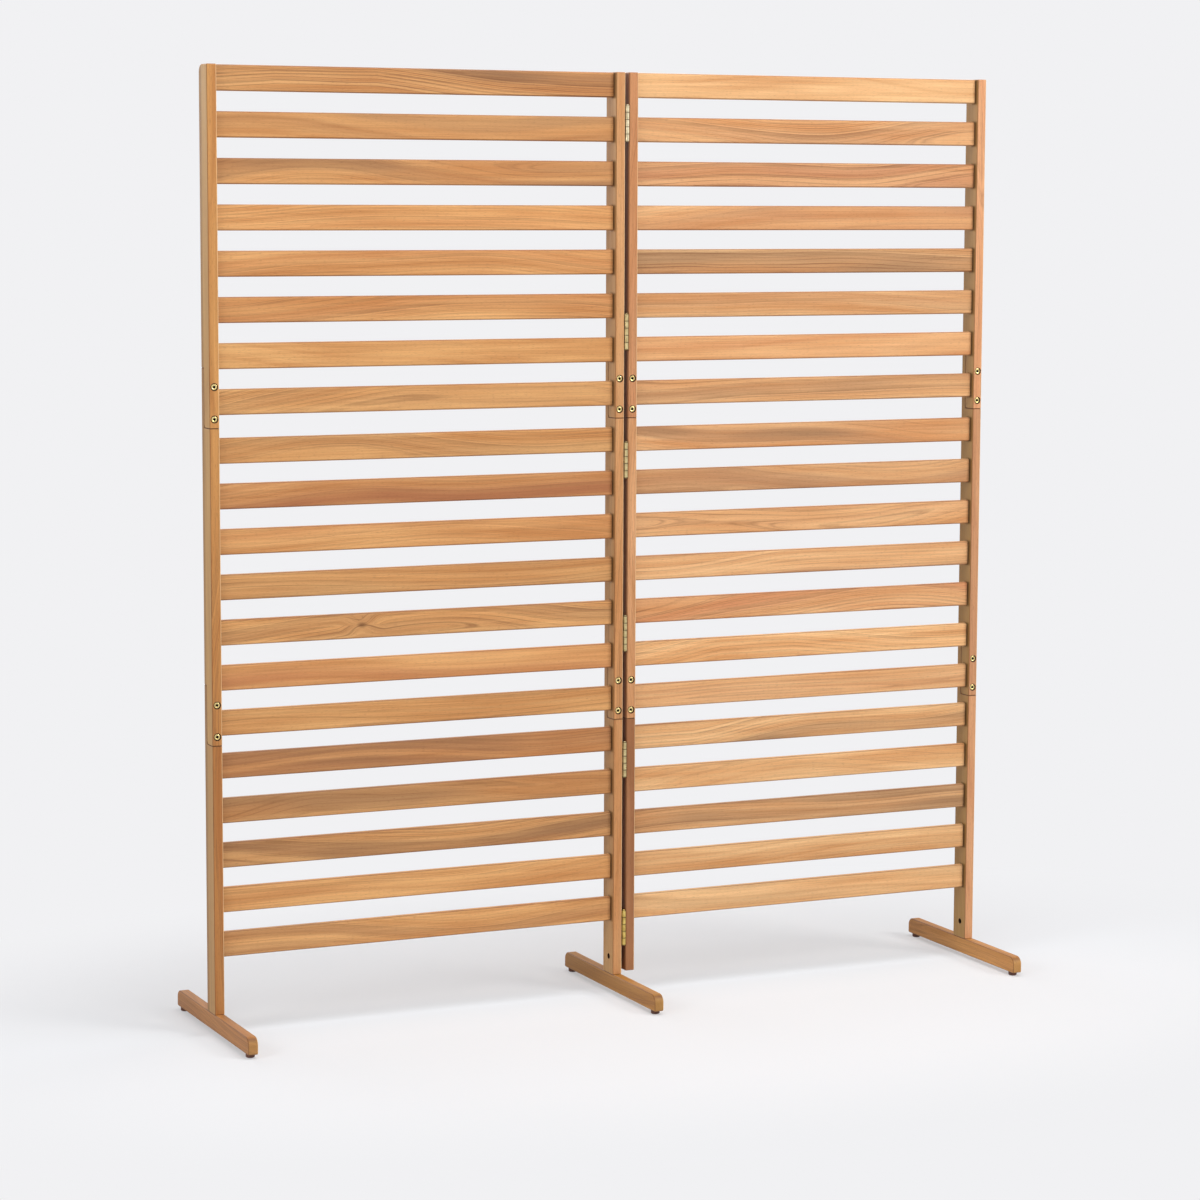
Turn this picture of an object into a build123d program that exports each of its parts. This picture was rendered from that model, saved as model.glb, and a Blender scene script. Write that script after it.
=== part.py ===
from build123d import *
import os

# Wooden garden screen: two leaves, each of three slatted frames whose posts lap into
# one another, on bolted feet, with six butt hinges in the gap between the leaves.
# X runs along the screen, the front looks along -Y, Z is up.
# The origin is on the ground, under the middle of the feet and of the whole width.

# Leaves
left_leaf_width = 792.0
right_leaf_width = 750.0
leaf_gap = 8.0

# Posts
post_width = 18.0
post_depth = 44.0
post_edge_radius = 2.0
post_end_chamfer = 1.0
post_crown_radius = 14.0
swing_lift = 5.5

# Slats, and the tenons that go into the posts
slat_height = 45.0
slat_gap = 34.7
slat_thickness = 12.0
slat_setback = 9.0
slat_edge_radius = 3.0
slat_end_chamfer = 2.0
tenon_length = 10.0
tenon_height = 32.0
tenon_thickness = 6.0
tenon_clearance = 0.15
mortise_spare_depth = 1.0

# Frames: number of slats, and the bare post below the lowest and above the highest
bottom_slats = 5
bottom_rise = 101.5
bottom_head = 15.2
middle_slats = 7
middle_rise = 16.0
middle_head = 17.3
top_slats = 8
top_rise = 22.5
top_head = 0.6

# Lap joints between the posts of two frames
lap_height = 104.0
lap_front_depth = 30.0
lap_inner_radius = 6.0
lap_outer_radius = 7.0

# Joint bolts and their cap nuts, two through every lap
joint_bolt_rise = 16.0
joint_bolt_spacing = 56.0
bolt_radius = 3.0
bolt_head_radius = 5.7
bolt_head_height = 2.8
bolt_head_chamfer = 0.8
bolt_head_sink = 1.0
bolt_tip_cover = 6.0
socket_across = 4.8
socket_depth = 2.0
nut_sleeve_radius = 4.0
nut_sleeve_length = 24.0
nut_flange_radius = 5.7
nut_flange_height = 2.5
nut_wall = 2.0
bore_clearance = 0.1
thread_clearance = 0.05
head_clearance = 0.8

# Feet
foot_length = 400.0
foot_height = 30.0
foot_end_radius = 14.0
foot_bottom_radius = 3.0
foot_edge_chamfer = 1.2
foot_axis_depth = 19.0

# Foot bolts and their barrel nuts
foot_bolt_head_radius = 5.0
foot_bolt_head_height = 6.0
foot_bolt_recess = 9.0
foot_bolt_tip = 4.0
barrel_nut_rise = 32.0
barrel_nut_radius = 5.0
barrel_hole_depth = 15.0
driver_slot_width = 1.2
driver_slot_depth = 1.5

# Glides under the feet
glide_radius = 8.0
glide_height = 7.0
glide_edge_chamfer = 1.5
glide_inset = 17.0
glide_stem_radius = 2.0
glide_stem_length = 14.0

# Hinges
hinge_length = 65.0
hinge_knuckles = 5
knuckle_gap = 0.3
barrel_radius = 3.6
leaf_thickness = 1.5
leaf_reach = 27.0
leaf_corner_radius = 2.0
leaf_front_clearance = 0.5
hinge_pin_radius = 1.6
hinge_pin_clearance = 0.05
hinge_pin_cap_radius = 2.8
hinge_pin_cap_height = 1.2
hinge_pin_cap_chamfer = 0.5
hinge_axis_lead = 0.25
hinge_screws = 3
screw_depth = 21.8
screw_end_margin = 10.5
screw_radius = 1.6
screw_head_radius = 3.2
screw_head_depth = 1.2
screw_length = 14.0
screw_tip_length = 4.0
screw_clearance = 0.05

# Hinge middles, measured inside each frame: the lower one from the foot of its posts,
# the upper one from their shoulder
bottom_hinge_rise = 88.0
bottom_hinge_drop = 76.0
middle_hinge_rise = 159.0
middle_hinge_drop = 77.0
top_hinge_rise = 157.5
top_hinge_drop = 91.5

# Overrun of every cut past the face that it opens
overrun = 1.0

slat_pitch = slat_height + slat_gap
foot_top = glide_height + foot_height
post_front = -foot_axis_depth
post_back = post_front + post_depth
lap_face = post_front + lap_front_depth
slat_middle = post_front + slat_setback + slat_thickness / 2
hinge_axis_y = post_front - hinge_axis_lead
whole_width = left_leaf_width + leaf_gap + right_leaf_width
left_edge = -whole_width / 2
right_edge = whole_width / 2
hinge_axis_x = left_edge + left_leaf_width + leaf_gap / 2
bolt_heights = [joint_bolt_rise, joint_bolt_rise + joint_bolt_spacing]
nut_floor = post_back - nut_flange_height
bolt_seat = post_front + bolt_head_sink + bolt_head_height
barrel_nut_length = 2 * (barrel_hole_depth - post_width / 2)


class Frame:
    """One slatted frame's heights from the ground: its posts' foot and shoulder, slats and hinges."""

    def __init__(self, name, below, slats, rise, head, hinge_rise, hinge_drop):
        self.name = name
        self.foot = below
        self.slats = [below + rise + slat_height / 2 + slat_pitch * n for n in range(slats)]
        self.shoulder = below + rise + slat_height + slat_pitch * (slats - 1) + head
        self.hinges = [self.shoulder - hinge_drop, below + hinge_rise]


bottom_frame = Frame(
    "bottom", foot_top, bottom_slats, bottom_rise, bottom_head, bottom_hinge_rise, bottom_hinge_drop
)
middle_frame = Frame(
    "middle",
    bottom_frame.shoulder,
    middle_slats,
    middle_rise,
    middle_head,
    middle_hinge_rise,
    middle_hinge_drop,
)
top_frame = Frame(
    "top", middle_frame.shoulder, top_slats, top_rise, top_head, top_hinge_rise, top_hinge_drop
)
frames = [top_frame, middle_frame, bottom_frame]
joints = [bottom_frame.shoulder, middle_frame.shoulder]
hinge_heights = [height for frame in frames for height in frame.hinges]


class Post:
    """Where one stack of posts stands, and what it carries. Its slats enter on side 1 or -1 along X."""

    def __init__(self, name, middle, slat_side, has_foot, has_hinges):
        self.name = name
        self.middle = middle
        self.slat_side = slat_side
        self.has_foot = has_foot
        self.has_hinges = has_hinges
        self.slat_face = middle + slat_side * post_width / 2
        self.outer_face = middle - slat_side * post_width / 2


left_outer = Post("left_outer", left_edge + post_width / 2, 1, True, False)
left_inner = Post("left_inner", hinge_axis_x - leaf_gap / 2 - post_width / 2, -1, True, True)
right_inner = Post("right_inner", hinge_axis_x + leaf_gap / 2 + post_width / 2, 1, False, True)
right_outer = Post("right_outer", right_edge - post_width / 2, -1, True, False)
stacks = [left_outer, left_inner, right_inner, right_outer]


def save(piece, name):
    """Labels a finished piece and writes it to its own file."""
    piece.label = name
    export_step(piece, "parts/" + name + ".step")


def at_y(offset):
    """A plane across the screen's depth, seen from the front: its X is the screen's X, its Y is up."""
    return Plane(origin=(0, offset, 0), x_dir=(1, 0, 0), z_dir=(0, -1, 0))


def at_x(offset, side=1):
    """A plane across the screen's width whose normal looks along +X or -X and whose Y is up."""
    return Plane(origin=(offset, 0, 0), x_dir=(0, side, 0), z_dir=(side, 0, 0))


def post_outline(low, high, laps_down, laps_up):
    """Corners of a post seen from the side, as (depth, height), with the laps at its ends."""
    corners = [(post_front, low), (post_front, high)]
    if laps_up:
        corners += [(lap_face, high), (lap_face, high + lap_height), (post_back, high + lap_height)]
    else:
        corners += [(post_back, high)]
    if laps_down:
        corners += [(post_back, low + lap_height), (lap_face, low + lap_height), (lap_face, low)]
    else:
        corners += [(post_back, low)]
    return corners


def corner_at(outline, across, up):
    """The corner of a sketch that is nearest to a point of its plane."""
    return outline.vertices().sort_by_distance((across, up))[0]


def make_post(stack, frame):
    """One post of a frame: lapped or crowned ends, round edges, mortises, and holes for its fasteners."""
    laps_down = frame is not bottom_frame
    laps_up = frame is not top_frame
    low = frame.foot
    if not laps_down and not stack.has_foot:
        low += swing_lift
    high = frame.shoulder
    with BuildPart() as post:
        with BuildSketch(at_x(stack.middle)) as side:
            with BuildLine():
                Polyline(post_outline(low, high, laps_down, laps_up), close=True)
            make_face()
            if laps_up:
                fillet(corner_at(side, lap_face, high), lap_inner_radius)
                fillet(corner_at(side, lap_face, high + lap_height), lap_outer_radius)
            else:
                fillet(corner_at(side, post_back, high), post_crown_radius)
            if laps_down:
                fillet(corner_at(side, lap_face, low), lap_outer_radius)
                fillet(corner_at(side, lap_face, low + lap_height), lap_inner_radius)
        extrude(amount=post_width / 2, both=True)
        uprights = post.edges().filter_by(Axis.Z).group_by(Axis.Y)
        rim = uprights[0] + uprights[-1]
        if laps_up:
            fillet(rim, post_edge_radius)
            chamfer(post.faces().sort_by(Axis.Z)[-1].edges(), post_end_chamfer)
        else:
            outline = post.edges().filter_by(Axis.X, reverse=True)
            rim += outline.filter_by(lambda edge: edge.center().Z > high - post_crown_radius)
            rim += post.edges().filter_by(Axis.X).group_by(Axis.Z)[-1].sort_by(Axis.Y)[:1]
            fillet(rim, post_edge_radius)
        chamfer(post.faces().sort_by(Axis.Z)[0].edges(), post_end_chamfer)

        with BuildSketch(at_x(stack.slat_face, stack.slat_side)):
            with Locations([(stack.slat_side * slat_middle, height) for height in frame.slats]):
                Rectangle(tenon_thickness + 2 * tenon_clearance, tenon_height + 2 * tenon_clearance)
        extrude(amount=-(tenon_length + mortise_spare_depth), mode=Mode.SUBTRACT)

        lap_levels = ([low] if laps_down else []) + ([high] if laps_up else [])
        bolt_places = [(stack.middle, level + rise) for level in lap_levels for rise in bolt_heights]
        if bolt_places:
            with BuildSketch(at_y(post_front)):
                with Locations(bolt_places):
                    Circle(nut_sleeve_radius + bore_clearance)
            extrude(amount=-post_depth, mode=Mode.SUBTRACT)
        if laps_down:
            with BuildSketch(at_y(post_front)):
                with Locations([(stack.middle, low + rise) for rise in bolt_heights]):
                    Circle(bolt_head_radius + head_clearance)
            extrude(amount=post_front - bolt_seat, mode=Mode.SUBTRACT)
        if laps_up:
            with BuildSketch(at_y(nut_floor)):
                with Locations([(stack.middle, high + rise) for rise in bolt_heights]):
                    Circle(nut_flange_radius + head_clearance)
            extrude(amount=-(nut_flange_height + overrun), mode=Mode.SUBTRACT)

        if stack.has_foot and not laps_down:
            with BuildSketch(Plane.XY.offset(low)):
                with Locations((stack.middle, 0)):
                    Circle(bolt_radius + bore_clearance)
            extrude(amount=barrel_nut_rise + barrel_nut_radius + foot_bolt_tip, mode=Mode.SUBTRACT)
            with BuildSketch(at_x(stack.slat_face, stack.slat_side)):
                with Locations((0, low + barrel_nut_rise)):
                    Circle(barrel_nut_radius + bore_clearance)
            extrude(amount=-barrel_hole_depth, mode=Mode.SUBTRACT)
        if stack.has_hinges:
            with BuildSketch(at_x(stack.outer_face, -stack.slat_side)):
                with Locations(screw_places(frame.hinges, -stack.slat_side)):
                    Circle(screw_radius + screw_clearance)
            extrude(amount=-(screw_length - leaf_thickness + screw_clearance), mode=Mode.SUBTRACT)
    return post.part


def screw_places(heights, side):
    """Where the screws of some hinges go, on a plane that looks along +X or -X."""
    reach = hinge_length / 2 - screw_end_margin
    step = 2 * reach / (hinge_screws - 1)
    places = []
    for height in heights:
        for n in range(hinge_screws):
            places.append((side * (post_front + screw_depth), height - reach + step * n))
    return places


def make_slats(left_stack, right_stack, frame):
    """All slats of one frame: boards with rounded long edges, eased ends and a tenon at each end."""
    start = left_stack.slat_face
    end = right_stack.slat_face
    with BuildPart() as slats:
        with BuildSketch(at_x(start)):
            with Locations([(slat_middle, height) for height in frame.slats]):
                RectangleRounded(slat_thickness, slat_height, slat_edge_radius)
        extrude(amount=end - start)
        chamfer(slats.faces().filter_by(Axis.X).edges(), slat_end_chamfer)
        for face, side in [(start, -1), (end, 1)]:
            with BuildSketch(at_x(face, side)):
                with Locations([(side * slat_middle, height) for height in frame.slats]):
                    Rectangle(tenon_thickness, tenon_height)
            extrude(amount=tenon_length)
    return slats.part


def make_joint_bolts(leaf_stacks):
    """Bolts through the laps of one leaf: low round heads with a six-sided socket, sunk in the posts."""
    places = [(s.middle, joint + rise) for s in leaf_stacks for joint in joints for rise in bolt_heights]
    tip = nut_floor - bolt_tip_cover
    with BuildPart() as bolts:
        with BuildSketch(at_y(bolt_seat)):
            with Locations(places):
                Circle(bolt_head_radius)
        extrude(amount=bolt_head_height)
        chamfer(bolts.faces().filter_by(Axis.Y).group_by(Axis.Y)[0].edges(), bolt_head_chamfer)
        with BuildSketch(at_y(bolt_seat)):
            with Locations(places):
                Circle(bolt_radius)
        extrude(amount=bolt_seat - tip)
        with BuildSketch(at_y(bolt_seat - bolt_head_height)):
            with Locations(places):
                RegularPolygon(socket_across / 2, 6, major_radius=False)
        extrude(amount=-socket_depth, mode=Mode.SUBTRACT)
    return bolts.part


def make_joint_nuts(leaf_stacks):
    """Cap nuts behind the laps of one leaf: a flange in the back of the post and a sleeve over the bolt."""
    places = [(s.middle, joint + rise) for s in leaf_stacks for joint in joints for rise in bolt_heights]
    with BuildPart() as nuts:
        with BuildSketch(at_y(post_back)):
            with Locations(places):
                Circle(nut_flange_radius)
        extrude(amount=nut_flange_height)
        with BuildSketch(at_y(nut_floor)):
            with Locations(places):
                Circle(nut_sleeve_radius)
        extrude(amount=nut_sleeve_length)
        with BuildSketch(at_y(nut_floor - nut_wall)):
            with Locations(places):
                Circle(bolt_radius + thread_clearance)
        extrude(amount=nut_sleeve_length, mode=Mode.SUBTRACT)
        with BuildSketch(at_y(post_back)):
            with Locations(places):
                RegularPolygon(socket_across / 2, 6, major_radius=False)
        extrude(amount=-socket_depth, dir=(0, 1, 0), mode=Mode.SUBTRACT)
    return nuts.part


def make_foot(stack):
    """A rail with rounded top corners, drilled for its bolt and the stems of its glides."""
    half = foot_length / 2
    with BuildPart() as foot:
        with BuildSketch(at_x(stack.middle)) as side:
            with Locations((0, glide_height + foot_height / 2)):
                Rectangle(foot_length, foot_height)
            fillet(side.vertices().group_by(Axis.Y)[-1], foot_end_radius)
            fillet(side.vertices().group_by(Axis.Y)[0], foot_bottom_radius)
        extrude(amount=post_width / 2, both=True)
        chamfer(foot.faces().filter_by(Axis.X).edges(), foot_edge_chamfer)
        with BuildSketch(Plane.XY.offset(glide_height)):
            with Locations((stack.middle, 0)):
                Circle(foot_bolt_head_radius + head_clearance)
        extrude(amount=foot_bolt_recess, mode=Mode.SUBTRACT)
        with BuildSketch(Plane.XY.offset(glide_height)):
            with Locations((stack.middle, 0)):
                Circle(bolt_radius + bore_clearance)
        extrude(amount=foot_height, mode=Mode.SUBTRACT)
        with BuildSketch(Plane.XY.offset(glide_height)):
            with Locations((stack.middle, half - glide_inset), (stack.middle, glide_inset - half)):
                Circle(glide_stem_radius + thread_clearance)
        extrude(amount=glide_stem_length + bore_clearance, mode=Mode.SUBTRACT)
    return foot.part


def make_glide(stack, end):
    """A round plastic glide, on the ground and against the foot, with its stem in the rail."""
    place = (stack.middle, end * (foot_length / 2 - glide_inset))
    with BuildPart() as glide:
        with BuildSketch(Plane.XY):
            with Locations(place):
                Circle(glide_radius)
        extrude(amount=glide_height)
        chamfer(glide.edges().group_by(Axis.Z)[0], glide_edge_chamfer)
        with BuildSketch(Plane.XY.offset(glide_height)):
            with Locations(place):
                Circle(glide_stem_radius)
        extrude(amount=glide_stem_length)
    return glide.part


def make_foot_bolt(stack):
    """The bolt that comes up through a foot into the barrel nut of its post."""
    seat = glide_height + foot_bolt_recess
    tip = foot_top + barrel_nut_rise + barrel_nut_radius
    with BuildPart() as bolt:
        with BuildSketch(Plane.XY.offset(seat - foot_bolt_head_height)):
            with Locations((stack.middle, 0)):
                Circle(foot_bolt_head_radius)
        extrude(amount=foot_bolt_head_height)
        with BuildSketch(Plane.XY.offset(seat)):
            with Locations((stack.middle, 0)):
                Circle(bolt_radius)
        extrude(amount=tip - seat)
        with BuildSketch(Plane.XY.offset(seat - foot_bolt_head_height)):
            with Locations((stack.middle, 0)):
                RegularPolygon(socket_across / 2, 6, major_radius=False)
        extrude(amount=socket_depth, mode=Mode.SUBTRACT)
    return bolt.part


def make_barrel_nut(stack):
    """The cross nut at the end of its hole, with a driver slot in the end that faces the slats."""
    inner_end = stack.middle + stack.slat_side * barrel_nut_length / 2
    height = foot_top + barrel_nut_rise
    with BuildPart() as nut:
        with BuildSketch(at_x(inner_end, stack.slat_side)):
            with Locations((0, height)):
                Circle(barrel_nut_radius)
        extrude(amount=-barrel_nut_length)
        with BuildSketch(Plane.XY.offset(height)):
            with Locations((stack.middle, 0)):
                Circle(bolt_radius + thread_clearance)
        extrude(amount=barrel_nut_radius, both=True, mode=Mode.SUBTRACT)
        with BuildSketch(at_x(inner_end, stack.slat_side)):
            with Locations((0, height)):
                Rectangle(driver_slot_width, 2 * barrel_nut_radius)
        extrude(amount=-driver_slot_depth, mode=Mode.SUBTRACT)
    return nut.part


def knuckle_spans(height, side):
    """Lowest and highest point of each knuckle on one side's leaf, odd knuckles on the left."""
    pitch = hinge_length / hinge_knuckles
    low = height - hinge_length / 2
    first = 0 if side < 0 else 1
    spans = []
    for n in range(first, hinge_knuckles, 2):
        under = low + pitch * n + (knuckle_gap / 2 if n > 0 else 0)
        over = low + pitch * (n + 1) - (knuckle_gap / 2 if n < hinge_knuckles - 1 else 0)
        spans.append((under, over))
    return spans


def make_hinge_leaf(height, side):
    """One hinge leaf: a plate on its post with countersunk holes, and knuckles round the pin."""
    outer = hinge_axis_x + side * leaf_gap / 2
    inner = outer - side * leaf_thickness
    plate_middle = (outer + inner) / 2
    plate_front = hinge_axis_y + barrel_radius + leaf_front_clearance
    plate_back = post_front + leaf_reach
    with BuildPart() as leaf:
        with BuildSketch(at_x(outer, side)):
            with Locations((side * (plate_front + plate_back) / 2, height)):
                Rectangle(plate_back - plate_front, hinge_length)
        extrude(amount=-leaf_thickness)
        fillet(leaf.edges().filter_by(Axis.X).group_by(Axis.Y)[-1], leaf_corner_radius)
        for under, over in knuckle_spans(height, side):
            with BuildSketch(Plane.XY.offset(under)):
                with Locations((hinge_axis_x, hinge_axis_y)):
                    Circle(barrel_radius)
                with Locations((plate_middle, hinge_axis_y)):
                    Rectangle(
                        leaf_thickness, plate_front - hinge_axis_y, align=(Align.CENTER, Align.MIN)
                    )
            extrude(amount=over - under)
        with BuildSketch(Plane.XY.offset(height - hinge_length / 2)):
            with Locations((hinge_axis_x, hinge_axis_y)):
                Circle(hinge_pin_radius + hinge_pin_clearance)
        extrude(amount=hinge_length, mode=Mode.SUBTRACT)
        for depth, level in screw_places([height], -side):
            place = Plane(origin=(inner, -side * depth, level), x_dir=(0, 1, 0), z_dir=(side, 0, 0))
            with BuildSketch(place):
                Circle(screw_head_radius + screw_clearance)
            with BuildSketch(place.offset(screw_head_depth)):
                Circle(screw_radius + screw_clearance)
            loft(mode=Mode.SUBTRACT)
            with BuildSketch(place):
                Circle(screw_radius + screw_clearance)
            extrude(amount=leaf_thickness, mode=Mode.SUBTRACT)
    return leaf.part


def make_hinge_pin(height):
    """A hinge's pin, with a low cap above and below the barrel."""
    half = hinge_length / 2 + hinge_pin_clearance
    with BuildPart() as pin:
        with BuildSketch(Plane.XY.offset(height - half)):
            with Locations((hinge_axis_x, hinge_axis_y)):
                Circle(hinge_pin_radius)
        extrude(amount=2 * half)
        for base, up in [(height + half, 1), (height - half, -1)]:
            with BuildSketch(Plane.XY.offset(base)):
                with Locations((hinge_axis_x, hinge_axis_y)):
                    Circle(hinge_pin_cap_radius)
            extrude(amount=up * hinge_pin_cap_height)
        chamfer(pin.edges().group_by(Axis.Z)[0], hinge_pin_cap_chamfer)
        chamfer(pin.edges().group_by(Axis.Z)[-1], hinge_pin_cap_chamfer)
    return pin.part


def make_hinge_screws(side):
    """All screws of one leaf's hinges: countersunk heads flush with the leaf, pointed ends in the post."""
    inner = hinge_axis_x + side * (leaf_gap / 2 - leaf_thickness)
    profile = [
        (0, 0),
        (screw_head_radius, 0),
        (screw_radius, screw_head_depth),
        (screw_radius, screw_length - screw_tip_length),
        (0, screw_length),
    ]
    with BuildPart(mode=Mode.PRIVATE) as screw:
        with BuildSketch(Plane.XZ):
            with BuildLine():
                Polyline(profile, close=True)
            make_face()
        revolve(axis=Axis.Z)
    with BuildPart() as screws:
        for depth, level in screw_places(hinge_heights, -side):
            place = Plane(origin=(inner, -side * depth, level), x_dir=(0, 1, 0), z_dir=(side, 0, 0))
            with Locations(place):
                add(screw.part)
    return screws.part


def main():
    os.makedirs("parts", exist_ok=True)
    for stack in stacks:
        for frame in frames:
            save(make_post(stack, frame), stack.name + "_" + frame.name + "_post")
    for leaf, pair in [("left", [left_outer, left_inner]), ("right", [right_inner, right_outer])]:
        for frame in frames:
            save(make_slats(pair[0], pair[1], frame), leaf + "_" + frame.name + "_slats")
        save(make_joint_bolts(pair), leaf + "_joint_bolts")
        save(make_joint_nuts(pair), leaf + "_joint_nuts")
    for leaf, side in [("left", -1), ("right", 1)]:
        save(make_hinge_screws(side), leaf + "_hinge_screws")
    for stack in [s for s in stacks if s.has_foot]:
        save(make_foot(stack), stack.name + "_foot")
        save(make_foot_bolt(stack), stack.name + "_foot_bolt")
        save(make_barrel_nut(stack), stack.name + "_barrel_nut")
        for end, side in [("front", -1), ("rear", 1)]:
            save(make_glide(stack, side), stack.name + "_" + end + "_glide")
    for number, height in enumerate(hinge_heights, 1):
        for leaf, side in [("left", -1), ("right", 1)]:
            save(make_hinge_leaf(height, side), "hinge_" + str(number) + "_" + leaf + "_leaf")
        save(make_hinge_pin(height), "hinge_" + str(number) + "_pin")


main()
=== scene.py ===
import math

import bpy
from mathutils import Matrix, Vector


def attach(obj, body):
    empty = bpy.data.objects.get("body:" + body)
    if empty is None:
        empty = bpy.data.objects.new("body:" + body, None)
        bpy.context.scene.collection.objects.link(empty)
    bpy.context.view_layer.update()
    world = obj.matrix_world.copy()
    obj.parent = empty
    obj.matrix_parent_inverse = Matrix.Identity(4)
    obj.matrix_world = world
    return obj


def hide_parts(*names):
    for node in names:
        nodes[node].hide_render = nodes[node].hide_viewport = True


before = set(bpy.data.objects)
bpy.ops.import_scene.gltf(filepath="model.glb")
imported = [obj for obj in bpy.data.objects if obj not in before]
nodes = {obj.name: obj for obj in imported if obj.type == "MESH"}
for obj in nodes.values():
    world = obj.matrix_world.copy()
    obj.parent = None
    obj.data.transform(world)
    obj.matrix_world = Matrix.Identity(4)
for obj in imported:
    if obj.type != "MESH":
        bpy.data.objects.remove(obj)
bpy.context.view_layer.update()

MM = 0.001

# Sizes and places that the finishes and the fasteners follow, in metres, as in the solids.
# Posts: x of their middles, the way from there to the slats, and the laps with their shoulders
POST_MIDDLE = {
    "left_outer": -766.0 * MM,
    "left_inner": 8.0 * MM,
    "right_inner": 34.0 * MM,
    "right_outer": 766.0 * MM,
}
SLAT_SIDE = {"left_outer": 1.0, "left_inner": -1.0, "right_inner": 1.0, "right_outer": -1.0}
POST_WIDTH = 18.0 * MM
POST_FRONT = -19.0 * MM
POST_BACK = 25.0 * MM
SHOULDERS = (517.5 * MM, 1074.0 * MM)
LAP_HEIGHT = 104.0 * MM
LAP_FACE = POST_FRONT + 30.0 * MM

# Slats: how many each frame has, and the middle height of its lowest one
SLATS = {"bottom": 5, "middle": 7, "top": 8}
LOWEST_SLAT = {"bottom": 161.0 * MM, "middle": 556.0 * MM, "top": 1119.0 * MM}
SLAT_PITCH = 79.7 * MM
SLAT_HEIGHT = 45.0 * MM
SLAT_FRONT = POST_FRONT + 9.0 * MM
SLAT_BACK = SLAT_FRONT + 12.0 * MM

# Bolts: heights above a lap's shoulder, and where their heads and their cap nuts seat
BOLT_RISES = (16.0 * MM, 72.0 * MM)
BOLT_SEAT = POST_FRONT + 3.8 * MM
CAP_NUT_SEAT = POST_BACK - 2.5 * MM
COUNTERBORE = 6.5 * MM

# The barrel nut's blind hole, and how far past the post's middle it ends
NUT_HOLE_HEIGHT = 69.0 * MM
NUT_HOLE_RADIUS = 5.1 * MM
NUT_HOLE_END = -6.0 * MM

# Hinges, numbered from the top: plates on both sides of the axis, three screws in each
HINGE_MIDDLES = [height * MM for height in (1608.5, 1231.5, 997.0, 676.5, 441.5, 125.0)]
HINGE_AXIS = 21.0 * MM
KNUCKLE = 13.0 * MM
PLATE_FACE = 2.5 * MM
SCREW_SINK = 1.2 * MM
SCREW_DEPTH = POST_FRONT + 21.8 * MM
SCREW_ROWS = (-22.0 * MM, 0.0, 22.0 * MM)

# The first seeds of the wood's patterns, so that no two pieces share one
SLAT_SEED = 3
POST_SEED = 40
FOOT_SEED = 80

# Lines of the wood's figure, the colours of painted shade and painted light on the wood, and its
# darker rear
GROWTH_LINE = "#7d4e2b"
FIBRE_SHADE = "#80512c"
OPEN_PORE = "#5f3a1e"
KNOT_CORE = "#6a4020"
LEFT_EDGE_PAINTED_SHADE = "#6f4322"
RIGHT_RIM_PAINTED_HIGHLIGHT = "#fbd9a8"
PAINTED_SHADE = "#341a07"
SLAT_SIDE_PAINTED_SHADE = "#8f7034"
LEFT_SIDE_PAINTED_LIGHT = "#b8a068"
DARKER_REAR = "#6b421f"
GAP_SIDE_PAINTED_SHADE = "#6b3a1a"

# The plating's paler edges, partly rubbed wear and partly painted highlight, and the hinges' painted
# shade
RUBBED_AND_HIGHLIT_PLATING = "#f8e8b8"
HINGE_PAINTED_SHADE = "#4a3413"


def rgb(code):
    """A colour written as sRGB hex, turned to linear light."""
    parts = [int(code[i : i + 2], 16) / 255 for i in (1, 3, 5)]
    return [c / 12.92 if c <= 0.04045 else ((c + 0.055) / 1.055) ** 2.4 for c in parts] + [1.0]


def add(tree, kind, inputs=None, **settings):
    """Adds a node, gives it its settings, then sets or links its inputs.

    A node given as an input stands for its first output that is in use.
    """
    node = tree.nodes.new("ShaderNode" + kind)
    for key, value in settings.items():
        setattr(node, key, value)
    for socket, value in (inputs or {}).items():
        if isinstance(value, bpy.types.Node):
            value = next(o for o in value.outputs if o.enabled)
        if isinstance(value, bpy.types.NodeSocket):
            tree.links.new(value, node.inputs[socket])
        else:
            node.inputs[socket].default_value = value
    return node


def start_material(name):
    """An empty node material and its tree."""
    material = bpy.data.materials.new(name)
    material.use_nodes = True
    material.node_tree.nodes.clear()
    return material, material.node_tree


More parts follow.
